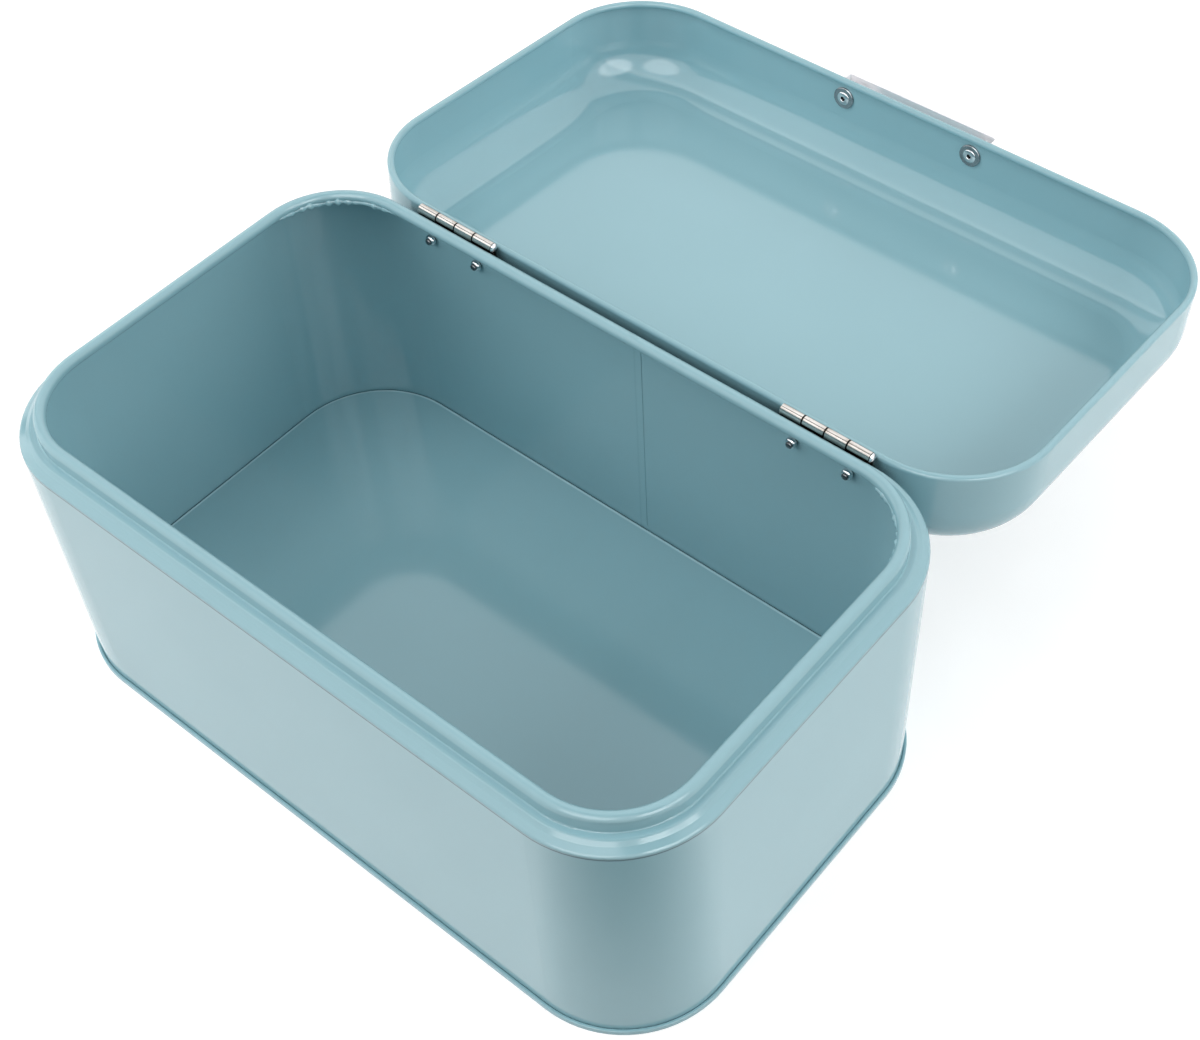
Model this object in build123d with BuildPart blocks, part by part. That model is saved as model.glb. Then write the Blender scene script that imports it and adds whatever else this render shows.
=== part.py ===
from build123d import *
import os

# Bread box of thin pressed steel: a deep body with rounded corners, a pressed lid on two butt hinges
# and a strap handle. It stands on its base seam. X runs along the length, +Y points to the hinge
# side and Z is up from the table, with the origin under the centre of the body.

# Overall sizes, in millimetres and degrees
body_length = 303.0
body_depth = 181.5
corner_radius = 42.0
sheet = 0.4
open_angle = 183.8

# Body wall, sloping ledge, neck and rolled rim, as distances in from the outer face and heights
ledge_start_height = 115.0
ledge_inset = 4.9
ledge_rise = 3.0
neck_inset = 7.0
neck_step_rise = 0.25
rim_height = 125.0
rim_bead_diameter = 4.5
bead_wrap = 290.0
shoulder_bend = 1.0
ledge_bend = 0.6
neck_bend = 0.8

# Double seam that joins the bottom panel to the wall
seam_height = 2.5
seam_gap = 0.03
seam_foot = 0.05
foot_inset = 0.1
fold_bend = 0.3
seam_edge_bend = 0.25
floor_height = 6.0
floor_bend = 1.2
panel_rim = 8.0
panel_overlap = 2.0

# Welded lap up the inside of the back wall
lap_offset = 4.75
lap_width = 2.5
lap_height = 0.15
lap_end_gap = 2.0

# Lid
lid_height = 40.5
lid_edge_radius = 20.0
lid_bead_diameter = 3.0
lid_seat_gap = 0.3

# Butt hinges
hinge_spacing = 175.0
hinge_length = 38.0
leaf_width = 15.5
leaf_thickness = 0.7
leaf_corner = 1.5
leaf_relief = 0.2
barrel_radius = 1.9
barrel_above_shoulder = 1.5
knuckle_count = 4
knuckle_gap = 0.25
knuckle_wrap = 290.0
pin_running_gap = 0.05
pin_cap_gap = 0.2
pin_cap_height = 1.2

# Rivet places
rivet_drop = 10.5
hinge_rivet_spacing = 24.0
handle_rivet_spacing = 64.0
handle_above_rim = 10.4

# Blind rivets and the mandrels left inside them
shank_radius = 1.6
rivet_hole_gap = 0.05
flange_radius = 3.1
flange_height = 0.65
flange_edge_height = 0.25
flange_crown_radius = 2.0
tail_radius = 2.4
tail_height = 2.4
tail_taper = 0.6
rivet_bore_radius = 0.92
mandrel_gap = 0.03
mandrel_break_depth = 0.5
mandrel_head_radius = 1.45
mandrel_head_height = 0.9
mandrel_crown_radius = 0.9
mandrel_crown_height = 0.4

# Strap handle and its washers
handle_length = 74.2
handle_standoff = 12.0
handle_strap = 1.2
handle_width = 6.0
handle_bend = 1.8
handle_foot = 10.5
washer_radius = 4.9
washer_thickness = 0.8
washer_edge = 0.2

# Places worked out from the sizes
half_length = body_length / 2
half_depth = body_depth / 2
half_sheet = sheet / 2
front_face = Plane.XZ.offset(half_depth)
back_face = Plane.XZ.offset(-half_depth)
layer = sheet + seam_gap
ledge_slope = ledge_rise / (ledge_inset - half_sheet)
ledge_stretch = (1 + ledge_slope**2) ** 0.5
lid_bead_radius = lid_bead_diameter / 2
ledge_under_bead = ledge_start_height + (lid_bead_radius - half_sheet) * ledge_slope
lid_bead_center = ledge_under_bead + (half_sheet + lid_seat_gap + lid_bead_radius) * ledge_stretch
lid_rim = lid_bead_center - lid_bead_radius
lid_top = lid_rim + lid_height
barrel_height = ledge_start_height + barrel_above_shoulder
barrel_depth = half_depth + barrel_radius
pin_radius = barrel_radius - leaf_thickness - pin_running_gap
hinge_axis = Axis((0, barrel_depth, barrel_height), (1, 0, 0))
body_rivet_height = barrel_height - rivet_drop
lid_rivet_height = barrel_height + rivet_drop
handle_height = lid_rim + handle_above_rim
hole_radius = shank_radius + rivet_hole_gap
hinge_centers = {"left": -hinge_spacing / 2, "right": hinge_spacing / 2}
hinge_rivet_offsets = {"left": -hinge_rivet_spacing / 2, "right": hinge_rivet_spacing / 2}
handle_rivet_offsets = {"left": -handle_rivet_spacing / 2, "right": handle_rivet_spacing / 2}
hinge_rivet_places = [
    center + offset for center in hinge_centers.values() for offset in hinge_rivet_offsets.values()
]


def body_line():
    """Middle line of the body wall, from the hook in the seam up to the rolled rim."""
    hook = half_sheet - 2 * layer
    neck = neck_inset + half_sheet
    bead_radius = rim_bead_diameter / 2
    ledge_end_height = ledge_start_height + ledge_rise
    FilletPolyline(
        (hook, seam_height - layer - half_sheet - seam_gap),
        (hook, seam_foot + layer + half_sheet),
        (half_sheet, seam_foot + layer + half_sheet),
        (half_sheet, ledge_start_height),
        (ledge_inset, ledge_end_height),
        (neck, ledge_end_height + neck_step_rise),
        (neck, rim_height - bead_radius),
        radius=[0, 0, shoulder_bend, ledge_bend, neck_bend],
    )
    CenterArc((neck_inset + bead_radius, rim_height - bead_radius), bead_radius - half_sheet, 180, -bead_wrap)


def base_line():
    """Middle line of the bottom panel's edge: cover hook, seam wall, chuck wall and floor."""
    cover_hook = half_sheet - layer
    seam_wall = half_sheet - 3 * layer
    chuck_wall = half_sheet + layer
    FilletPolyline(
        (cover_hook, seam_foot + 2 * layer + half_sheet),
        (cover_hook, seam_height - half_sheet),
        (seam_wall, seam_height - half_sheet),
        (seam_wall, seam_foot + half_sheet),
        (chuck_wall, seam_foot + half_sheet),
        (chuck_wall, floor_height - half_sheet),
        (panel_rim, floor_height - half_sheet),
        radius=[fold_bend, fold_bend, seam_edge_bend, seam_edge_bend, floor_bend],
    )


def lid_line():
    """Middle line of the lid, from the top panel down the skirt to the rolled rim."""
    FilletPolyline(
        (lid_edge_radius + panel_rim, lid_top - half_sheet),
        (half_sheet, lid_top - half_sheet),
        (half_sheet, lid_bead_center),
        radius=[lid_edge_radius - half_sheet],
    )
    CenterArc((lid_bead_radius, lid_bead_center), lid_bead_radius - half_sheet, 180, bead_wrap)


def knuckle_line():
    """Middle line of a leaf where it leaves the plate and rolls round the pin."""
    middle = half_depth + leaf_thickness / 2
    Line((middle, barrel_height - barrel_radius - leaf_relief), (middle, barrel_height))
    CenterArc((barrel_depth, barrel_height), barrel_radius - leaf_thickness / 2, 180, -knuckle_wrap)


def handle_line():
    """Middle line of the handle strap seen from above: foot, leg, grip, leg and foot."""
    foot = -half_depth - handle_strap / 2
    grip = -half_depth - handle_standoff + handle_strap / 2
    leg = (handle_length - handle_strap) / 2
    foot_end = handle_length / 2 - handle_foot
    FilletPolyline((-foot_end, foot), (-leg, foot), (-leg, grip), (leg, grip), (leg, foot), (foot_end, foot),
                   radius=handle_bend)


def bent_sheet(draw_line, thickness):
    """Section of a bent sheet, half its thickness to each side of its middle line."""
    with BuildLine() as middle:
        draw_line()
    with BuildSketch() as section:
        trace(middle.line, line_width=thickness)
    return section.sketch


def sheet_ring(draw_line):
    """Carry a sheet section round the rounded outline, as a quarter that is mirrored twice."""
    straight_x = half_length - corner_radius
    straight_y = half_depth - corner_radius
    corner_axis = Axis((straight_x, -straight_y, 0), (0, 0, 1))
    section = bent_sheet(draw_line, sheet)
    with BuildPart() as ring:
        with BuildSketch(Plane(origin=(0, -half_depth, 0), x_dir=(0, 1, 0), z_dir=(1, 0, 0))):
            add(section)
        extrude(amount=straight_x)
        with BuildSketch(Plane(origin=(straight_x, -half_depth, 0), x_dir=(0, 1, 0), z_dir=(1, 0, 0))):
            add(section)
        revolve(axis=corner_axis, revolution_arc=90)
        with BuildSketch(Plane(origin=(half_length, -straight_y, 0), x_dir=(-1, 0, 0), z_dir=(0, 1, 0))):
            add(section)
        extrude(amount=straight_y)
        mirror(about=Plane.YZ)
        mirror(about=Plane.XZ)
    return ring.part


def flat_panel(inset, bottom):
    """Flat middle of a pressed panel, out to the given distance from the outer face."""
    with BuildPart() as panel:
        with BuildSketch(Plane.XY.offset(bottom)):
            RectangleRounded(body_length - 2 * inset, body_depth - 2 * inset, corner_radius - inset)
        extrude(amount=sheet)
    return panel.part


def seam_underside():
    """Thin flat ring under the base seam, the one face that the box stands on."""
    outer = 3 * layer - half_sheet - seam_edge_bend - foot_inset
    inner = layer + half_sheet - seam_edge_bend - foot_inset
    with BuildPart() as ring:
        with BuildSketch():
            RectangleRounded(body_length + 2 * outer, body_depth + 2 * outer, corner_radius + outer)
            RectangleRounded(
                body_length - 2 * inner, body_depth - 2 * inner, corner_radius - inner, mode=Mode.SUBTRACT
            )
        extrude(amount=seam_foot + half_sheet)
    return ring.part


def hinge_leaf(center, first_knuckle):
    """Leaf below the pin on the back wall, with every second knuckle rolled out of it."""
    pitch = hinge_length / knuckle_count
    plate_height = leaf_width - barrel_radius - leaf_relief
    plate_middle = barrel_height - leaf_width + plate_height / 2
    knuckle = bent_sheet(knuckle_line, leaf_thickness)
    with BuildPart() as leaf:
        with BuildSketch(back_face):
            with Locations((center, plate_middle)):
                Rectangle(hinge_length, plate_height)
            with Locations(*[(center + offset, body_rivet_height) for offset in hinge_rivet_offsets.values()]):
                Circle(hole_radius, mode=Mode.SUBTRACT)
        extrude(amount=-leaf_thickness)
        fillet(leaf.edges().filter_by(Axis.Y).group_by(Axis.Z)[0], leaf_corner)
        for number in range(first_knuckle, knuckle_count, 2):
            knuckle_start = center - hinge_length / 2 + number * pitch + knuckle_gap / 2
            with BuildSketch(Plane(origin=(knuckle_start, 0, 0), x_dir=(0, 1, 0), z_dir=(1, 0, 0))):
                add(knuckle)
            extrude(amount=pitch - knuckle_gap)
    return leaf.part


def hinge_pin(center):
    """Pin through all the knuckles, with a domed cap past the right-hand end."""
    start = center - hinge_length / 2
    cap_seat = hinge_length + pin_cap_gap
    with BuildPart() as pin:
        with BuildSketch(Plane(origin=(start, barrel_depth, barrel_height), x_dir=(1, 0, 0), z_dir=(0, -1, 0))):
            with BuildLine():
                Polyline((cap_seat + pin_cap_height, 0), (0, 0), (0, pin_radius), (cap_seat, pin_radius),
                         (cap_seat, barrel_radius))
                TangentArc((cap_seat + pin_cap_height, 0), (cap_seat, barrel_radius), tangent=(0, 1))
            make_face()
        revolve(axis=hinge_axis)
    return pin.part


def rivet(grip):
    """Set blind rivet along Z: the flange seats at zero and the tail starts below the grip."""
    tail_end = -grip - tail_height
    with BuildPart() as shape:
        with BuildSketch(Plane.XZ):
            with BuildLine():
                Polyline(
                    (flange_radius, 0),
                    (flange_radius, flange_edge_height),
                    (flange_crown_radius, flange_height),
                    (rivet_bore_radius, flange_height),
                    (rivet_bore_radius, tail_end),
                    (mandrel_head_radius, tail_end),
                    (tail_radius, tail_end + tail_taper),
                    (tail_radius, -grip - tail_taper),
                    (shank_radius, -grip),
                    (shank_radius, 0),
                    close=True,
                )
            make_face()
        revolve(axis=Axis.Z)
    return shape.part


def mandrel(grip):
    """Broken-off stem that stays in the rivet, with its head against the end of the tail."""
    stem = rivet_bore_radius - mandrel_gap
    stem_end = flange_height - mandrel_break_depth
    tail_end = -grip - tail_height
    head_end = tail_end - mandrel_head_height
    with BuildPart() as shape:
        with BuildSketch(Plane.XZ):
            with BuildLine():
                Polyline(
                    (0, stem_end),
                    (stem, stem_end),
                    (stem, tail_end),
                    (mandrel_head_radius, tail_end),
                    (mandrel_head_radius, head_end + mandrel_crown_height),
                    (mandrel_crown_radius, head_end),
                    (0, head_end),
                    close=True,
                )
            make_face()
        revolve(axis=Axis.Z)
    return shape.part


def placed(shape, x, y, z):
    """Stand a rivet or mandrel at a place in a wall, with its flange towards +Y."""
    return shape.moved(Plane(origin=(x, y, z), x_dir=(1, 0, 0), z_dir=(0, 1, 0)).location)


def save(piece, name):
    """Label a finished piece and write it."""
    piece.label = name
    export_step(piece, f"parts/{name}.step")


def save_open(piece, name):
    """Write a piece of the lid, which is drawn closed and then swung back to its stop."""
    save(piece.rotate(hinge_axis, -open_angle), name)


os.makedirs("parts", exist_ok=True)

# Body wall with its ledge, neck and rolled rim, the welded lap and the hinge rivet holes
with BuildPart() as body_shell:
    add(sheet_ring(body_line))
    with BuildSketch(Plane.XY.offset(floor_height + lap_end_gap)):
        with Locations((lap_offset, half_depth - sheet)):
            Rectangle(lap_width, 2 * lap_height)
    extrude(amount=ledge_start_height - floor_height - 2 * lap_end_gap)
    with BuildSketch(back_face):
        with Locations(*[(place, body_rivet_height) for place in hinge_rivet_places]):
            Circle(hole_radius)
    extrude(amount=2 * sheet, mode=Mode.SUBTRACT)
save(body_shell.part, "body_shell")

# Bottom panel, set up inside the wall and seamed round its foot
with BuildPart() as base_panel:
    add(sheet_ring(base_line))
    add(flat_panel(panel_rim - panel_overlap, floor_height - sheet))
    add(seam_underside())
save(base_panel.part, "base_panel")

# Pressed lid with a broad top edge, a rolled rim and holes for the handle and the hinges
with BuildPart() as lid_shell:
    add(sheet_ring(lid_line))
    add(flat_panel(lid_edge_radius + panel_rim - panel_overlap, lid_top - sheet))
    with BuildSketch(back_face):
        with Locations(*[(place, lid_rivet_height) for place in hinge_rivet_places]):
            Circle(hole_radius)
    extrude(amount=2 * sheet, mode=Mode.SUBTRACT)
    with BuildSketch(front_face):
        with Locations(*[(place, handle_height) for place in handle_rivet_offsets.values()]):
            Circle(hole_radius)
    extrude(amount=-2 * sheet, mode=Mode.SUBTRACT)
save_open(lid_shell.part, "lid_shell")

# Handle bent from flat strap, with its feet turned in under the grip
with BuildPart() as handle:
    with BuildSketch(Plane.XY.offset(handle_height - handle_width / 2)):
        add(bent_sheet(handle_line, handle_strap))
    extrude(amount=handle_width)
    with BuildSketch(front_face):
        with Locations(*[(place, handle_height) for place in handle_rivet_offsets.values()]):
            Circle(hole_radius)
    extrude(amount=2 * handle_strap, mode=Mode.SUBTRACT)
save_open(handle.part, "handle")

# Washers and rivets of the handle, set from inside the lid
washer_seat = -half_depth + sheet
handle_grip = washer_thickness + sheet + handle_strap
for side, place in handle_rivet_offsets.items():
    with BuildPart() as handle_washer:
        with BuildSketch(Plane(origin=(place, washer_seat, handle_height), x_dir=(1, 0, 0), z_dir=(0, 1, 0))):
            Circle(washer_radius)
            Circle(hole_radius, mode=Mode.SUBTRACT)
        extrude(amount=washer_thickness)
        chamfer(handle_washer.edges().group_by(Axis.Y)[-1].sort_by(SortBy.RADIUS)[-1], washer_edge)
    flange_seat = washer_seat + washer_thickness
    save_open(handle_washer.part, f"handle_washer_{side}")
    save_open(placed(rivet(handle_grip), place, flange_seat, handle_height), f"handle_rivet_{side}")
    save_open(placed(mandrel(handle_grip), place, flange_seat, handle_height), f"handle_mandrel_{side}")

# Hinges, with their rivets set from outside through the leaf and the wall
leaf_face = half_depth + leaf_thickness
hinge_grip = leaf_thickness + sheet
for side, center in hinge_centers.items():
    save(hinge_leaf(center, 0), f"hinge_{side}_body_leaf")
    save_open(mirror(hinge_leaf(center, 1), about=Plane.XY.offset(barrel_height)), f"hinge_{side}_lid_leaf")
    save(hinge_pin(center), f"hinge_{side}_pin")
    for end, offset_x in hinge_rivet_offsets.items():
        place = center + offset_x
        save(placed(rivet(hinge_grip), place, leaf_face, body_rivet_height), f"hinge_{side}_body_rivet_{end}")
        save(placed(mandrel(hinge_grip), place, leaf_face, body_rivet_height), f"hinge_{side}_body_mandrel_{end}")
        save_open(placed(rivet(hinge_grip), place, leaf_face, lid_rivet_height), f"hinge_{side}_lid_rivet_{end}")
        save_open(placed(mandrel(hinge_grip), place, leaf_face, lid_rivet_height), f"hinge_{side}_lid_mandrel_{end}")
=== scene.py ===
import math

import bmesh
import bpy
from mathutils import Matrix, Vector


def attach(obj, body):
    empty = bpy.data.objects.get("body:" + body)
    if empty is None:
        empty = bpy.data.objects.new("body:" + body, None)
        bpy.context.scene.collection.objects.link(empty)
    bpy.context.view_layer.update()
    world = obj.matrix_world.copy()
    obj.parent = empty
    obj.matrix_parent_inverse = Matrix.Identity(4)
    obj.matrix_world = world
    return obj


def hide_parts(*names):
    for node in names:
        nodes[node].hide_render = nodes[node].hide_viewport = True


# Bread box of painted steel with its lid folded back, on a plain pale floor in soft light.
# Everything is in metres, in the CAD model's own frame: +Z up, +Y towards the hinges.

MM = 0.001

# Places and sizes repeated from the CAD model, in millimetres and degrees
BODY_LENGTH = 303.0
BODY_DEPTH = 181.5
CORNER_RADIUS = 42.0
SHEET = 0.4
OPEN_ANGLE = 183.8
HINGE_AXIS_Y = 92.65
HINGE_AXIS_Z = 116.5
HINGE_CENTERS = {"left": -87.5, "right": 87.5}
HINGE_RIVET_OFFSETS = {"left": -12.0, "right": 12.0}
HANDLE_RIVET_OFFSETS = {"left": -32.0, "right": 32.0}
BODY_RIVET_HEIGHT = 106.0
LID_RIVET_HEIGHT = 127.0
HANDLE_HEIGHT = 127.102
LEAF_THICKNESS = 0.7
KNUCKLE_LENGTH = 9.5
RIM_HEIGHT = 125.0
NECK_INSET = 7.0
RIM_BEAD_RADIUS = 2.25
WASHER_THICKNESS = 0.8
HANDLE_STRAP = 1.2
HANDLE_BEND = 1.8
HANDLE_FOOT = 11.9

# Handle as the photograph shows it, a little wider and longer than the CAD node, in millimetres
HANDLE_LENGTH = 76.0
HANDLE_WIDTH = 9.5
HANDLE_STANDOFF = 11.8
HANDLE_EDGE = 0.4
BEND_STEPS = 8

# Wrinkles of the rolled rim: where they run round the two rear corners, in degrees, and their shape, in
# millimetres and degrees
LEFT_WRINKLES = (-2.0, 96.0)
RIGHT_WRINKLES = (4.0, 80.0)
WRINKLE_STEPS = 240
WRINKLE_SIDES = 10
WRINKLE_THIN = 0.95
WRINKLE_SWELL = 0.80
WRINKLE_TIP = 0.05
WRINKLE_TAPER = 8.0
WRINKLE_SINK = 0.15
WRINKLE_DOWN = -44.0
WRINKLE_DOWN_SWING = 8.0
WRINKLE_DOWN_WAVES = 17.0

# Camera solved from the photograph, for a frame of 1200 by 1040
FRAME_WIDTH = 1200
FRAME_CENTER = (600, 520)
CAMERA_PLACE = (0.3254, -0.2790, 0.5930)
CAMERA_TURN = (0.7079, 0.0228, 0.6825)
FOCAL_PIXELS = 1865.56
CENTER_PIXEL = (651.21, 501.85)
SENSOR_WIDTH = 36.0

# What the floor and the world add to the lamps
FLOOR_SIZE = 4.0
FLOOR_GLOW = 0.5
FAR_FLOOR_GLOW = 0.5
FAR_FLOOR = (0.7, 1.3)
AMBIENT = 0.04

# Part of the floor painted dark for mirrored rays only, a painted dark reflection in the box's near corner:
# the middle, how far it is full, where it ends
DARK_FLOOR = ((0.25, -0.193, 0.0), 0.09, 0.18)

# Brightness that shiny surfaces mirror, from the front horizon at 0 over the top to the back horizon at 1
MIRRORED_LIGHT = (
    (0.0, 0.85),
    (0.05, 1.8),
    (0.34, 1.8),
    (0.38, 2.6),
    (0.41, 2.6),
    (0.43, 0.3),
    (0.51, 0.3),
    (0.55, 1.55),
    (0.85, 1.55),
    (1.0, 0.9),
)

# Directions and strengths of the two lamps that show as soft spots in the lid's far corner, and their size
MIRRORED_LAMPS = (((0.83, -0.13, 0.55), 3.8), ((0.20, -0.74, 0.64), 3.0))
MIRRORED_LAMP_SIZE = (0.30, 0.38)

# Middle of the object, which every lamp is turned to
LAMP_AIM = (0.0, 0.06, 0.08)

# Small marks seen in the photograph, in metres: the middle, how far each is full, and where it ends
RIM_DARK_SPOT = ((0.0078, 0.0792, 0.1214), 0.0003, 0.0011)
RIM_NICK = ((-0.1394, 0.0055, 0.1250), 0.0002, 0.0012)
RIM_DENT = ((0.0105, 0.0834, 0.1245), 0.0006, 0.0030)

# Lines, in metres: the middle, which is a place across the box, a height and a distance in from its outside,
# then how far each is full, and where it ends
LAP_LINE = (0.0027, 0.0002, 0.0006)
# Painted shade line under the shoulder bend of the ledge
SHOULDER_SHADE_LINE = (0.1143, 0.0001, 0.0005)
# Painted highlight over the bend at the edge of the bottom panel
EDGE_HIGHLIGHT = (0.0014, 0.0005, 0.0009)

# The lap line sets in at the inner face of the back wall and fades out under the ledge
LAP_DEPTHS = (0.0885, 0.089)
LAP_ENDS = (0.110, 0.115)

# How far from a joint between knuckles its line and its brown tint are full, and where they end. Both stay
# on the barrel, which ends at a distance from the hinge axis
KNUCKLE_LINE = (0.00022, 0.00045)
KNUCKLE_BROWN_TINT = (0.0003, 0.0022)
BARREL_REACH = (0.0021, 0.0024)

# Soft roll of the ledge between the heights of its foot and its top
LEDGE_HEIGHTS = (0.1146, 0.1184)
LEDGE_ROLL = (
    (0.0, 0.0),
    (0.1, 0.35),
    (0.28, 0.55),
    (0.62, 0.0),
    (0.86, 0.4),
    (0.95, 0.2),
    (1.0, 0.0),
)

# Range that most of a noise falls in
NOISE_RANGE = (0.3, 0.7)

# Gaps are painted darker as shade within a reach, in metres, and go from dark to clear between two shares of
# open sky
GAP_SAMPLES = 6
PAINT_GAP_REACH = 0.008
PAINT_GAP_SKY = (0.06, 0.34)
METAL_GAP_REACH = 0.003
METAL_GAP_SKY = (0.15, 0.5)


def srgb(hex_text):
    """Linear colour of a written one, such as 8eb3bd."""
    values = [int(hex_text[i : i + 2], 16) / 255 for i in (0, 2, 4)]
    linear = [v / 12.92 if v <= 0.04045 else ((v + 0.055) / 1.055) ** 2.4 for v in values]
    return (*linear, 1.0)


# Node helpers


class Nodes:
    """Short way to build the nodes of a material or of the world."""

    def __init__(self, owner, coordinates="Object"):
        owner.use_nodes = True
        self.owner = owner
        self.tree = owner.node_tree
        self.shader = self.tree.nodes.get("Principled BSDF")
        self.place = self.tree.nodes.new("ShaderNodeTexCoord").outputs[coordinates]
        self.rays = self.tree.nodes.new("ShaderNodeLightPath").outputs

    def link(self, source, target):
        self.tree.links.new(source, target)

    def fill(self, socket, value):
        if isinstance(value, bpy.types.NodeSocket):
            self.link(value, socket)
        else:
            socket.default_value = value

    def along(self, axis):
        node = self.tree.nodes.new("ShaderNodeSeparateXYZ")
        self.link(self.place, node.inputs["Vector"])
        return node.outputs[axis]

    def ramp(self, value, stops):
        """Grey level read from (place, level) stops."""
        node = self.tree.nodes.new("ShaderNodeValToRGB")
        self.link(value, node.inputs["Fac"])
        ends = list(node.color_ramp.elements)
        for element, (place, level) in zip(ends, (stops[0], stops[-1])):
            element.position = place
            element.color = (level, level, level, 1.0)
        for place, level in stops[1:-1]:
            node.color_ramp.elements.new(place).color = (level, level, level, 1.0)
        return node.outputs["Color"]

    def band(self, value, middle, inner, outer):
        """One within inner of a value's middle, falling to nothing at outer."""
        distance = self.math("ABSOLUTE", self.math("SUBTRACT", value, middle), 0.0)
        return self.span(distance, inner, outer, 1.0, 0.0)

    def noise(self, scale, detail=2.0, roughness=0.5, place=None):
        node = self.tree.nodes.new("ShaderNodeTexNoise")
        node.inputs["Scale"].default_value = scale
        node.inputs["Detail"].default_value = detail
        node.inputs["Roughness"].default_value = roughness
        self.link(place or self.place, node.inputs["Vector"])
        return node.outputs["Fac"]

    def stretched(self, scale):
        node = self.tree.nodes.new("ShaderNodeMapping")
        node.inputs["Scale"].default_value = scale
        self.link(self.place, node.inputs["Vector"])
        return node.outputs["Vector"]

    def span(self, value, low, high, to_low=0.0, to_high=1.0):
        node = self.tree.nodes.new("ShaderNodeMapRange")
        node.clamp = True
        self.link(value, node.inputs["Value"])
        node.inputs["From Min"].default_value = low
        node.inputs["From Max"].default_value = high
        node.inputs["To Min"].default_value = to_low
        node.inputs["To Max"].default_value = to_high
        return node.outputs["Result"]

    def math(self, kind, first, second):
        node = self.tree.nodes.new("ShaderNodeMath")
        node.operation = kind
        self.fill(node.inputs[0], first)
        self.fill(node.inputs[1], second)
        return node.outputs["Value"]

    def mix(self, share, first, second):
        node = self.tree.nodes.new("ShaderNodeMix")
        node.data_type = "RGBA"
        # Inputs 6 and 7 and output 2 are the node's colours, beside those for numbers and vectors
        self.fill(node.inputs[0], share)
        self.fill(node.inputs[6], first)
        self.fill(node.inputs[7], second)
        return node.outputs[2]

    def vector(self, kind, first, second=(0.0, 0.0, 0.0)):
        node = self.tree.nodes.new("ShaderNodeVectorMath")
        node.operation = kind
        self.link(first, node.inputs[0])
        node.inputs[1].default_value = second
        return node.outputs["Value" if kind in ("DISTANCE", "LENGTH") else "Vector"]

    def near(self, point, inner, outer, weights=(1.0, 1.0, 1.0)):
        """One within inner of a point or a direction, falling to nothing at outer."""
        weighted = self.vector("MULTIPLY", self.place, weights)
        return self.span(self.vector("DISTANCE", weighted, point), inner, outer, 1.0, 0.0)

    def inset(self):
        """Distance inwards from the outside of the body's rounded wall, in plan."""
        core_length = BODY_LENGTH / 2 - CORNER_RADIUS
        core_depth = BODY_DEPTH / 2 - CORNER_RADIUS
        core = (core_length * MM, core_depth * MM, BODY_LENGTH * MM)
        beyond_core = self.vector("SUBTRACT", self.vector("ABSOLUTE", self.place), core)
        from_core = self.vector("LENGTH", self.vector("MAXIMUM", beyond_core))
        return self.math("SUBTRACT", CORNER_RADIUS * MM, from_core)

    def open_sky(self, reach):
        """Share of the surroundings that is open within reach metres, low in gaps and grooves."""
        node = self.tree.nodes.new("ShaderNodeAmbientOcclusion")
        node.samples = GAP_SAMPLES
        node.inputs["Distance"].default_value = reach
        return node.outputs["AO"]

    def bump(self, height, distance, strength=1.0, under=None):
        node = self.tree.nodes.new("ShaderNodeBump")
        node.inputs["Strength"].default_value = strength
        node.inputs["Distance"].default_value = distance
        self.link(height, node.inputs["Height"])
        if under:
            self.link(under, node.inputs["Normal"])
        return node.outputs["Normal"]

    def finish(self, **sockets):
        for name, value in sockets.items():
            self.fill(self.shader.inputs[name.replace("_", " ")], value)
        return self.owner


# Materials


def paint_material(name, marks=None, shaded_gaps=True):
    """Satin powder coat on pressed sheet: orange peel, faint cloudiness and slightly uneven sheet."""
    n = Nodes(bpy.data.materials.new(name))
    peel = n.noise(scale=520.0, detail=2.0)
    fine_peel = n.noise(scale=1700.0, detail=1.0)
    cloud = n.noise(scale=9.0, detail=3.0)
    sheet_wave = n.noise(scale=14.0, detail=1.0)
    gloss = n.noise(scale=60.0, detail=3.0)
    color = n.mix(n.span(cloud, *NOISE_RANGE), srgb("86adb6"), srgb("8ab1ba"))
    roughness = n.span(gloss, *NOISE_RANGE, to_low=0.075, to_high=0.11)
    normal = n.bump(sheet_wave, distance=0.0004, strength=0.3)
    normal = n.bump(peel, distance=0.00002, strength=0.4, under=normal)
    normal = n.bump(fine_peel, distance=0.000006, strength=0.4, under=normal)
    if marks:
        color, normal = marks(n, color, normal)
    if shaded_gaps:
        # Painted shade: the paint turns dark in gaps and grooves, where little around is open
        shade = n.span(n.open_sky(PAINT_GAP_REACH), *PAINT_GAP_SKY, to_low=0.95, to_high=0.0)
        color = n.mix(shade, color, srgb("0f1e22"))
    n.shader.inputs["IOR"].default_value = 1.55
    return n.finish(Base_Color=color, Roughness=roughness, Normal=normal)


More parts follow.
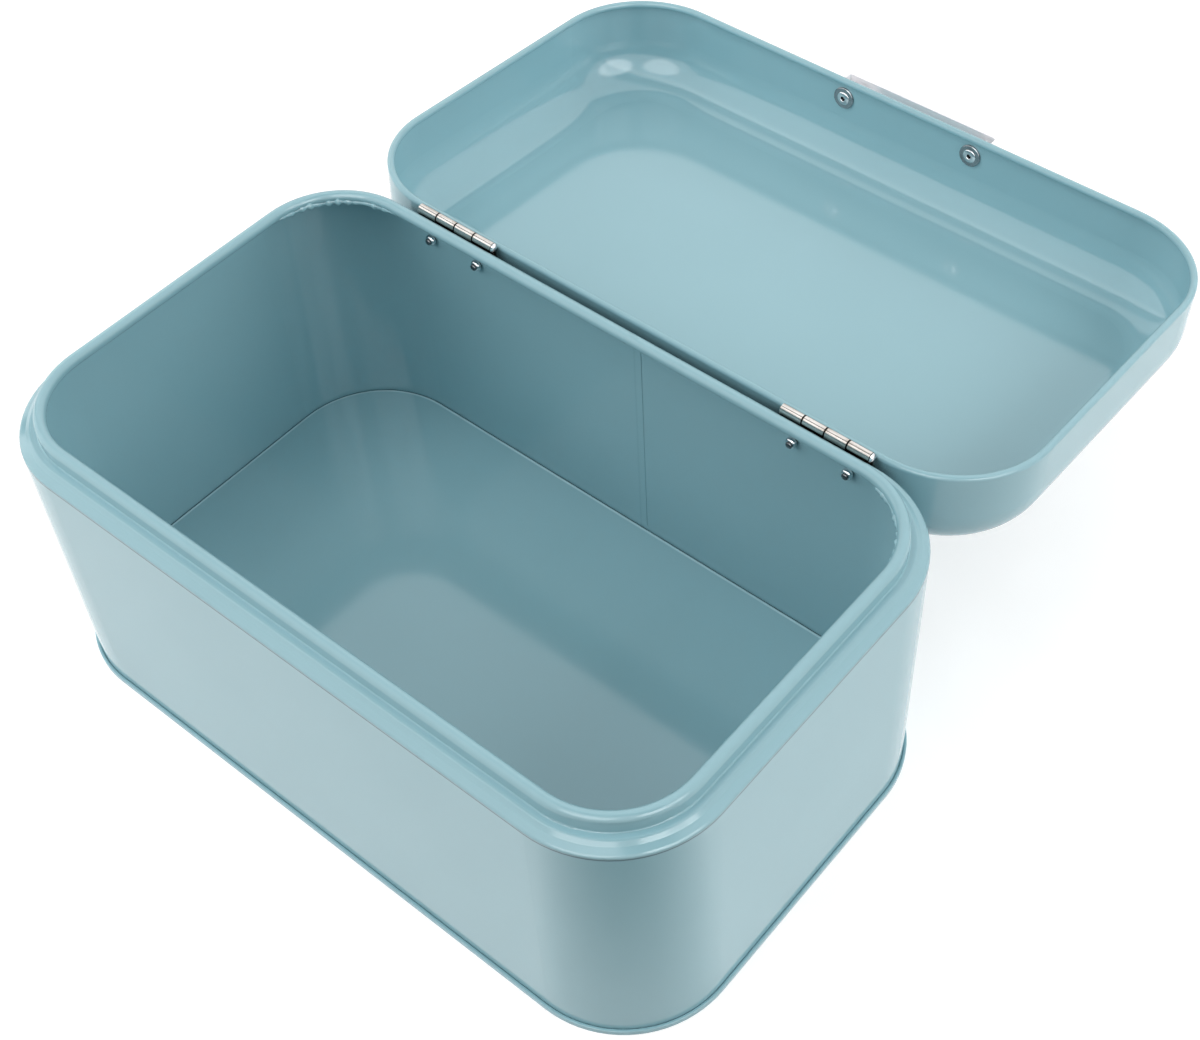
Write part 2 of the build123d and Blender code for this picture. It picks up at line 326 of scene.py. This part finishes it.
def body_marks(n, color, normal):
    """Dark spot, nick and dent in the rim, the second line of the wall's lap, the ledge's roll, and a
    painted shade line under the shoulder bend of the ledge.
    """
    dark_spot = n.near(*RIM_DARK_SPOT)
    nick = n.near(*RIM_NICK)
    dent = n.near(*RIM_DENT)
    height = n.along("Z")
    behind = n.span(n.along("Y"), *LAP_DEPTHS)
    below = n.span(height, *LAP_ENDS, to_low=1.0, to_high=0.0)
    lap = n.math("MULTIPLY", n.band(n.along("X"), *LAP_LINE), n.math("MULTIPLY", behind, below))
    shoulder_shade = n.band(height, *SHOULDER_SHADE_LINE)
    color = n.mix(n.math("MULTIPLY", dark_spot, 0.8), color, srgb("3c5257"))
    color = n.mix(n.math("MULTIPLY", nick, 0.5), color, srgb("6d949d"))
    color = n.mix(n.math("MULTIPLY", lap, 0.14), color, srgb("5d848d"))
    # Painted shade: a dark line under the shoulder bend of the ledge
    color = n.mix(n.math("MULTIPLY", shoulder_shade, 0.75), color, srgb("3e555c"))
    roll = n.ramp(n.span(height, *LEDGE_HEIGHTS), LEDGE_ROLL)
    rolled = n.bump(roll, distance=0.0006, under=normal)
    return color, n.bump(n.math("ADD", nick, dent), distance=0.0007, under=rolled)


def floor_edge_highlight(n, color, normal):
    """Painted highlight: colour made lighter over the bend at the edge of the bottom panel."""
    unevenness = n.span(n.noise(scale=45.0), 0.3, 0.6, to_low=0.6, to_high=0.9)
    painted_highlight = n.math("MULTIPLY", n.band(n.inset(), *EDGE_HIGHLIGHT), unevenness)
    return n.mix(painted_highlight, color, srgb("b8d6dd")), normal


def hinge_marks(n, color):
    """Dark lines where the knuckles meet, and a little brown tint beside them."""
    across = n.along("X")
    joints = [center + k * KNUCKLE_LENGTH for center in HINGE_CENTERS.values() for k in (-1, 0, 1)]
    line = n.band(across, joints[0] * MM, *KNUCKLE_LINE)
    brown_tint = n.band(across, joints[0] * MM, *KNUCKLE_BROWN_TINT)
    for x in joints[1:]:
        line = n.math("MAXIMUM", line, n.band(across, x * MM, *KNUCKLE_LINE))
        brown_tint = n.math("MAXIMUM", brown_tint, n.band(across, x * MM, *KNUCKLE_BROWN_TINT))
    patches = n.span(n.noise(scale=300.0), 0.4, 0.7, to_low=0.0, to_high=0.5)
    brown_tint = n.math("MULTIPLY", brown_tint, patches)
    hinge_axis = (0.0, HINGE_AXIS_Y * MM, HINGE_AXIS_Z * MM)
    barrel = n.near(hinge_axis, *BARREL_REACH, weights=(0.0, 1.0, 1.0))
    brown_tinted = n.mix(n.math("MULTIPLY", brown_tint, barrel), color, srgb("7d6650"))
    return n.mix(n.math("MULTIPLY", line, barrel), brown_tinted, srgb("26211d"))


def brushed_metal(name, light, dark, smooth, rough, brushing, marks=None, metallic=1.0):
    """Plated or plain metal with dull specks, brushed along the axis with the lowest number."""
    n = Nodes(bpy.data.materials.new(name))
    grain = n.noise(scale=90.0, detail=4.0, roughness=0.6, place=n.stretched(brushing))
    specks = n.span(n.noise(scale=900.0, detail=3.0), 0.62, 0.75)
    color = n.mix(n.math("MULTIPLY", specks, 0.6), srgb(light), srgb(dark))
    color = n.mix(n.span(grain, 0.35, 0.7), color, srgb(dark))
    if marks:
        color = marks(n, color)
    # Painted shade: the metal turns dark in narrow gaps, where little around is open
    shade = n.span(n.open_sky(METAL_GAP_REACH), *METAL_GAP_SKY, to_low=0.9, to_high=0.0)
    color = n.mix(shade, color, srgb("0c0d0e"))
    roughness = n.span(grain, *NOISE_RANGE, to_low=smooth, to_high=rough)
    n.shader.inputs["Metallic"].default_value = metallic
    normal = n.bump(grain, distance=0.00001, strength=0.4)
    return n.finish(Base_Color=color, Roughness=roughness, Normal=normal)


# Mesh helpers


def new_piece(name, mesh, material, body):
    piece = bpy.data.objects.new(name, mesh)
    bpy.context.scene.collection.objects.link(piece)
    piece.data.materials.clear()
    piece.data.materials.append(material)
    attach(piece, body)
    return piece


def turned_mesh(name, profile, segments=20):
    """Mesh turned about Z from a closed profile of (radius, height) points in millimetres."""
    bm = bmesh.new()
    rings = []
    for radius, height in profile:
        ring = []
        for k in range(segments):
            angle = 2 * math.pi * k / segments
            x = radius * MM * math.cos(angle)
            y = radius * MM * math.sin(angle)
            ring.append(bm.verts.new((x, y, height * MM)))
        rings.append(ring)
    for i, ring in enumerate(rings):
        following = rings[(i + 1) % len(rings)]
        for k in range(segments):
            j = (k + 1) % segments
            bm.faces.new((ring[k], ring[j], following[j], following[k]))
    bmesh.ops.remove_doubles(bm, verts=bm.verts, dist=1e-7)
    bmesh.ops.recalc_face_normals(bm, faces=bm.faces)
    for face in bm.faces:
        face.smooth = True
    mesh = bpy.data.meshes.new(name)
    bm.to_mesh(mesh)
    bm.free()
    return mesh


def subdivide(piece, levels):
    modifier = piece.modifiers.new("smooth", "SUBSURF")
    modifier.levels = levels
    modifier.render_levels = levels


# Where a piece drawn on the closed lid goes when the lid lies back
PIVOT = Matrix.Translation((0, HINGE_AXIS_Y * MM, HINGE_AXIS_Z * MM))
SWUNG_OPEN = PIVOT @ Matrix.Rotation(math.radians(-OPEN_ANGLE), 4, "X") @ PIVOT.inverted()
FACING_BACK = Matrix(((1, 0, 0, 0), (0, 0, 1, 0), (0, -1, 0, 0), (0, 0, 0, 1)))


def stand_in_wall(mesh, x, y, z, on_lid):
    """Turn a mesh drawn along Z so that its top faces +Y at a place, in millimetres."""
    matrix = Matrix.Translation((x * MM, y * MM, z * MM)) @ FACING_BACK
    mesh.transform(SWUNG_OPEN @ matrix if on_lid else matrix)


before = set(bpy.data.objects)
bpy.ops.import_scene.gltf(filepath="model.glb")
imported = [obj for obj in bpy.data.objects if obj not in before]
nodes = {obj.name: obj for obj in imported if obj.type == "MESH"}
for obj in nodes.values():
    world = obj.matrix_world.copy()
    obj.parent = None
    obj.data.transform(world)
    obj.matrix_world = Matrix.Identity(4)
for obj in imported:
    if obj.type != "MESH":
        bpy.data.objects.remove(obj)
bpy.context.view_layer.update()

# Camera
camera_data = bpy.data.cameras.new("camera")
camera_data.sensor_width = SENSOR_WIDTH
camera_data.lens = FOCAL_PIXELS * SENSOR_WIDTH / FRAME_WIDTH
camera_data.shift_x = (FRAME_CENTER[0] - CENTER_PIXEL[0]) / FRAME_WIDTH
camera_data.shift_y = (CENTER_PIXEL[1] - FRAME_CENTER[1]) / FRAME_WIDTH
camera = bpy.data.objects.new("camera", camera_data)
camera.location = CAMERA_PLACE
camera.rotation_euler = CAMERA_TURN
bpy.context.scene.collection.objects.link(camera)
bpy.context.scene.camera = camera
bpy.context.scene.view_settings.view_transform = "Standard"

# Finishes of the CAD pieces
body_paint = paint_material("body_paint", body_marks)
panel_paint = paint_material("panel_paint", floor_edge_highlight, shaded_gaps=False)
lid_paint = paint_material("lid_paint")
hinge_plate = brushed_metal(
    "hinge_plate",
    "d8d5d1",
    "a39d96",
    smooth=0.13,
    rough=0.24,
    brushing=(0.5, 12.0, 12.0),
    marks=hinge_marks,
)
handle_plate = brushed_metal(
    "handle_plate", "faf7f9", "efebed", smooth=0.20, rough=0.30, brushing=(0.2, 6.0, 6.0), metallic=0.35
)
washer_plate = brushed_metal(
    "washer_plate", "a2a7aa", "74797c", smooth=0.2, rough=0.32, brushing=(1.0, 1.0, 1.0)
)
rivet_metal = brushed_metal(
    "rivet_metal", "dfe2e4", "aeb3b6", smooth=0.08, rough=0.16, brushing=(2.0, 2.0, 2.0)
)
mandrel_metal = brushed_metal(
    "mandrel_metal", "8d9093", "5c5e60", smooth=0.16, rough=0.3, brushing=(3.0, 3.0, 3.0)
)

# Finish by the start of the node's name. The first that fits is taken
FINISHES = {
    "body_shell": body_paint,
    "base_panel": panel_paint,
    "lid_shell": lid_paint,
    "handle_washer": washer_plate,
    "handle": handle_plate,
    "hinge_left_pin": rivet_metal,
    "hinge_right_pin": rivet_metal,
    "hinge": hinge_plate,
}
for node_name, node in nodes.items():
    if "rivet" in node_name:
        finish = rivet_metal
    elif "mandrel" in node_name:
        finish = mandrel_metal
    else:
        finish = next(made for start, made in FINISHES.items() if node_name.startswith(start))
    node.data.materials.clear()
    node.data.materials.append(finish)


# Blind rivets, turned with rounded edges in place of the plain CAD ones


def rivet_profile(grip):
    """Flange with a rolled mouth, shank and swollen tail, round the bore."""
    tail = -grip
    mouth = [(0.95, 0.20), (1.00, 0.44), (1.18, 0.60), (1.45, 0.65)]
    flange = [(1.95, 0.62), (2.55, 0.46), (2.98, 0.26), (3.10, 0.14), (3.09, 0.03), (3.05, 0.0)]
    shank = [(1.62, 0.0), (1.60, -0.02), (1.60, tail), (1.66, tail - 0.04)]
    swollen = [(2.15, tail - 0.22), (2.38, tail - 0.70), (2.40, tail - 1.20), (2.26, tail - 1.80)]
    tail_end = [(1.90, tail - 2.20), (1.50, tail - 2.38), (1.10, tail - 2.38)]
    bore = [(0.95, tail - 2.25), (0.94, tail - 1.50)]
    return mouth + flange + shank + swollen + tail_end + bore


def mandrel_profile(grip):
    """Broken stem end, stem and domed head, closed on the axis."""
    tail = -grip
    broken_end = [(0.0, -0.30), (0.30, -0.32), (0.42, -0.42), (0.62, -0.46), (0.84, -0.62)]
    stem = [(0.88, -0.85), (0.88, tail - 2.2)]
    head = [(0.92, tail - 2.39), (1.30, tail - 2.41), (1.44, tail - 2.52), (1.44, tail - 2.90)]
    dome = [(1.20, tail - 3.15), (0.70, tail - 3.29), (0.0, tail - 3.30)]
    return broken_end + stem + head + dome


def set_rivet(start, end, x, y, z, grip, body):
    """Put a finished rivet and its mandrel in place of the two CAD nodes."""
    for kind, profile, metal, slot in (
        ("rivet", rivet_profile(grip), rivet_metal, "rivet_aluminium"),
        ("mandrel", mandrel_profile(grip), mandrel_metal, "mandrel_steel"),
    ):
        node_name = f"{start}_{kind}_{end}"
        mesh = turned_mesh(f"turned_{node_name}", profile)
        stand_in_wall(mesh, x, y, z, body == "lid")
        piece = new_piece(f"turned_{node_name}", mesh, metal, body)
        subdivide(piece, 1)
        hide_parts(node_name)


wall_face = BODY_DEPTH / 2
leaf_face = wall_face + LEAF_THICKNESS
hinge_grip = LEAF_THICKNESS + SHEET
handle_grip = WASHER_THICKNESS + SHEET + HANDLE_STRAP
washer_face = -wall_face + SHEET + WASHER_THICKNESS
for side, center in HINGE_CENTERS.items():
    for end, offset in HINGE_RIVET_OFFSETS.items():
        x = center + offset
        set_rivet(f"hinge_{side}_body", end, x, leaf_face, BODY_RIVET_HEIGHT, hinge_grip, "body")
        set_rivet(f"hinge_{side}_lid", end, x, leaf_face, LID_RIVET_HEIGHT, hinge_grip, "lid")
for side, x in HANDLE_RIVET_OFFSETS.items():
    set_rivet("handle", side, x, washer_face, HANDLE_HEIGHT, handle_grip, "lid")


# Handle strap with rounded edges, and the wrinkles of the rolled rim at the rear corners


def swept_mesh(name, rings):
    """Smooth skin with flat ends over rings of equally many points in millimetres."""
    bm = bmesh.new()
    rows = [[bm.verts.new([value * MM for value in point]) for point in ring] for ring in rings]
    for first, second in zip(rows, rows[1:]):
        for k in range(len(first)):
            j = (k + 1) % len(first)
            bm.faces.new((first[k], first[j], second[j], second[k]))
    bm.faces.new(rows[0])
    bm.faces.new(rows[-1])
    bmesh.ops.recalc_face_normals(bm, faces=bm.faces)
    for face in bm.faces:
        face.smooth = len(face.verts) == 4
    mesh = bpy.data.meshes.new(name)
    bm.to_mesh(mesh)
    bm.free()
    return mesh


def strap_path():
    """Middle line of the handle, seen from above the closed lid, in millimetres."""
    foot = -BODY_DEPTH / 2 - HANDLE_STRAP / 2
    grip = -BODY_DEPTH / 2 - HANDLE_STANDOFF + HANDLE_STRAP / 2
    leg = (HANDLE_LENGTH - HANDLE_STRAP) / 2
    foot_end = HANDLE_LENGTH / 2 - HANDLE_FOOT
    corners = [(-foot_end, foot), (-leg, foot), (-leg, grip), (leg, grip), (leg, foot), (foot_end, foot)]
    path = [Vector(corners[0])]
    for before, corner, after in zip(corners, corners[1:], corners[2:]):
        corner = Vector(corner)
        entry = corner + (Vector(before) - corner).normalized() * HANDLE_BEND
        leave = corner + (Vector(after) - corner).normalized() * HANDLE_BEND
        middle = entry + leave - corner
        for k in range(BEND_STEPS + 1):
            angle = math.pi / 2 * k / BEND_STEPS
            path.append(middle + (corner - leave) * math.cos(angle) + (corner - entry) * math.sin(angle))
    path.append(Vector(corners[-1]))
    return path


def strap_section():
    """Section of the strap with rounded edges, as (across, along) points from its middle."""
    flat = HANDLE_STRAP / 2 - HANDLE_EDGE
    tall = HANDLE_WIDTH / 2 - HANDLE_EDGE
    quarter = ((0, 1), (0.7, 0.7), (1, 0))
    section = []
    for across, along in ((1, 1), (1, -1), (-1, -1), (-1, 1)):
        turn = quarter if across * along > 0 else quarter[::-1]
        section += [(across * (flat + HANDLE_EDGE * u), along * (tall + HANDLE_EDGE * v)) for u, v in turn]
    return section


def strap_handle():
    """The strap, flat side to the lid, as one skin."""
    path = strap_path()
    rings = []
    for i, point in enumerate(path):
        ahead = path[min(i + 1, len(path) - 1)] - path[max(i - 1, 0)]
        outward = Vector((ahead.y, -ahead.x)).normalized()
        rings.append([
            (point.x + outward.x * across, point.y + outward.y * across, HANDLE_HEIGHT + along)
            for across, along in strap_section()
        ])
    mesh = swept_mesh("handle_strap", rings)
    mesh.transform(SWUNG_OPEN)
    piece = new_piece("handle_strap", mesh, handle_plate, "lid")
    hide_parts("handle")


def wrinkle_swell(angle, side):
    """Uneven swelling between 0 and 1 from waves that don't repeat together."""
    swell = 0.5 + 0.5 * math.sin(31.0 * angle + 2.5 * math.sin(9.0 * angle + side))
    return swell * (0.6 + 0.4 * math.sin(53.0 * angle + 1.3))


def rim_wrinkles(side, limits):
    """Uneven lower edge of the rolled rim where it was drawn in round a rear corner."""
    start, end = limits
    corner_x = side * (BODY_LENGTH / 2 - CORNER_RADIUS)
    corner_y = BODY_DEPTH / 2 - CORNER_RADIUS
    bead_inset = NECK_INSET + RIM_BEAD_RADIUS
    bead_height = RIM_HEIGHT - RIM_BEAD_RADIUS
    reach = RIM_BEAD_RADIUS - WRINKLE_SINK
    rings = []
    for i in range(WRINKLE_STEPS + 1):
        share = i / WRINKLE_STEPS
        angle = math.radians(start + (end - start) * share)
        taper = min(1.0, WRINKLE_TAPER * share, WRINKLE_TAPER * (1.0 - share))
        thick = (WRINKLE_THIN + WRINKLE_SWELL * wrinkle_swell(angle, side)) * taper + WRINKLE_TIP
        swing = WRINKLE_DOWN_SWING * math.sin(WRINKLE_DOWN_WAVES * angle)
        down = math.radians(WRINKLE_DOWN + swing)
        inset = bead_inset + reach * math.cos(down)
        height = bead_height + reach * math.sin(down)
        ring = []
        for k in range(WRINKLE_SIDES):
            round_angle = 2 * math.pi * k / WRINKLE_SIDES
            plan = CORNER_RADIUS - inset - thick * math.cos(round_angle)
            x = corner_x + side * plan * math.cos(angle)
            y = corner_y + plan * math.sin(angle)
            ring.append((x, y, height + thick * math.sin(round_angle)))
        rings.append(ring)
    name = f"rim_wrinkles_{'right' if side > 0 else 'left'}"
    new_piece(name, swept_mesh(name, rings), body_paint, "body")


strap_handle()
rim_wrinkles(-1, LEFT_WRINKLES)
rim_wrinkles(1, RIGHT_WRINKLES)


# Floor and light


def soft_lamp(name, azimuth, elevation, distance, width, height, power):
    """Rectangular lamp turned to the box. Azimuth 0 stands in front of it and 90 to its right."""
    a = math.radians(azimuth)
    e = math.radians(elevation)
    away = Vector((math.sin(a) * math.cos(e), -math.cos(a) * math.cos(e), math.sin(e)))
    data = bpy.data.lights.new(name, "AREA")
    data.shape = "RECTANGLE"
    data.size = width
    data.size_y = height
    data.energy = power
    lamp = bpy.data.objects.new(name, data)
    lamp.location = Vector(LAMP_AIM) + away * distance
    lamp.rotation_euler = away.to_track_quat("Z", "Y").to_euler()
    lamp.visible_glossy = False
    bpy.context.scene.collection.objects.link(lamp)


def pale_floor():
    """Pale studio floor that shows white and keeps the object's soft shadow."""
    bm = bmesh.new()
    bmesh.ops.create_grid(bm, x_segments=8, y_segments=8, size=FLOOR_SIZE)
    mesh = bpy.data.meshes.new("floor")
    bm.to_mesh(mesh)
    bm.free()
    floor = bpy.data.objects.new("floor", mesh)
    bpy.context.scene.collection.objects.link(floor)
    n = Nodes(bpy.data.materials.new("floor_paper"))
    camera_ray = n.rays["Is Camera Ray"]
    glossy_ray = n.rays["Is Glossy Ray"]
    paper = n.mix(n.span(n.noise(scale=40.0, detail=3.0), *NOISE_RANGE), srgb("cfcfcf"), srgb("d6d6d6"))
    # Painted reflection: only to mirrored rays the floor turns dark round a point, which darkens the box's
    # near corner
    shade = n.math("MULTIPLY", n.near(*DARK_FLOOR), glossy_ray)
    through = n.math("MAXIMUM", glossy_ray, n.rays["Is Transmission Ray"])
    seen = n.math("MAXIMUM", camera_ray, through)
    glow = n.math("MULTIPLY", n.math("SUBTRACT", seen, shade), FLOOR_GLOW)
    far = n.math("SUBTRACT", 1.0, n.near((0.0, 0.0, 0.0), *FAR_FLOOR))
    far_glow = n.math("MULTIPLY", n.math("MULTIPLY", far, camera_ray), FAR_FLOOR_GLOW)
    glow = n.math("ADD", glow, far_glow)
    n.shader.inputs["Emission Color"].default_value = (1.0, 1.0, 1.0, 1.0)
    color = n.mix(shade, paper, srgb("2a2c2e"))
    mesh.materials.append(n.finish(Base_Color=color, Roughness=0.9, Emission_Strength=glow))


def studio_world():
    """White to the camera; mirrored, a front and a back light with a dark gap overhead."""
    world = bpy.data.worlds.new("studio")
    n = Nodes(world, "Generated")
    bpy.context.scene.world = world
    forward = n.math("MULTIPLY", n.along("Y"), -1.0)
    overhead = n.math("DIVIDE", n.math("ARCTAN2", n.along("Z"), forward), math.pi)
    mirrored = n.ramp(overhead, MIRRORED_LIGHT)
    for direction, strength in MIRRORED_LAMPS:
        spot = n.math("MULTIPLY", n.near(direction, *MIRRORED_LAMP_SIZE), strength)
        mirrored = n.math("ADD", mirrored, spot)
    mirrored = n.math("MULTIPLY", mirrored, n.rays["Is Glossy Ray"])
    seen = n.math("MAXIMUM", n.rays["Is Camera Ray"], n.rays["Is Transmission Ray"])
    ambient = n.math("MULTIPLY", n.rays["Is Diffuse Ray"], AMBIENT)
    background = n.tree.nodes["Background"]
    background.inputs["Color"].default_value = (1.0, 1.0, 1.0, 1.0)
    n.link(n.math("ADD", n.math("ADD", mirrored, seen), ambient), background.inputs["Strength"])


pale_floor()
studio_world()
soft_lamp("front_left", azimuth=-50.0, elevation=43.0, distance=1.6, width=1.2, height=1.0, power=6.4)
soft_lamp("front_left_low", azimuth=-46.0, elevation=17.0, distance=1.6, width=1.2, height=0.8, power=9.8)
soft_lamp("front", azimuth=-5.0, elevation=40.0, distance=1.6, width=1.2, height=1.0, power=4.3)
soft_lamp("right", azimuth=97.0, elevation=30.0, distance=1.5, width=1.0, height=1.0, power=10.2)
soft_lamp("back_right", azimuth=138.0, elevation=35.0, distance=1.6, width=1.0, height=1.0, power=6.4)
soft_lamp("back_right_low", azimuth=145.0, elevation=18.0, distance=1.6, width=1.0, height=0.6, power=5.4)
soft_lamp("back_left", azimuth=-150.0, elevation=42.0, distance=1.6, width=1.2, height=0.9, power=4.2)
soft_lamp("left", azimuth=-95.0, elevation=30.0, distance=1.6, width=1.0, height=1.0, power=0.9)
soft_lamp("high", azimuth=-40.0, elevation=66.0, distance=1.6, width=1.2, height=1.0, power=5.6)
soft_lamp("top", azimuth=0.0, elevation=88.0, distance=1.6, width=1.4, height=1.0, power=4.6)
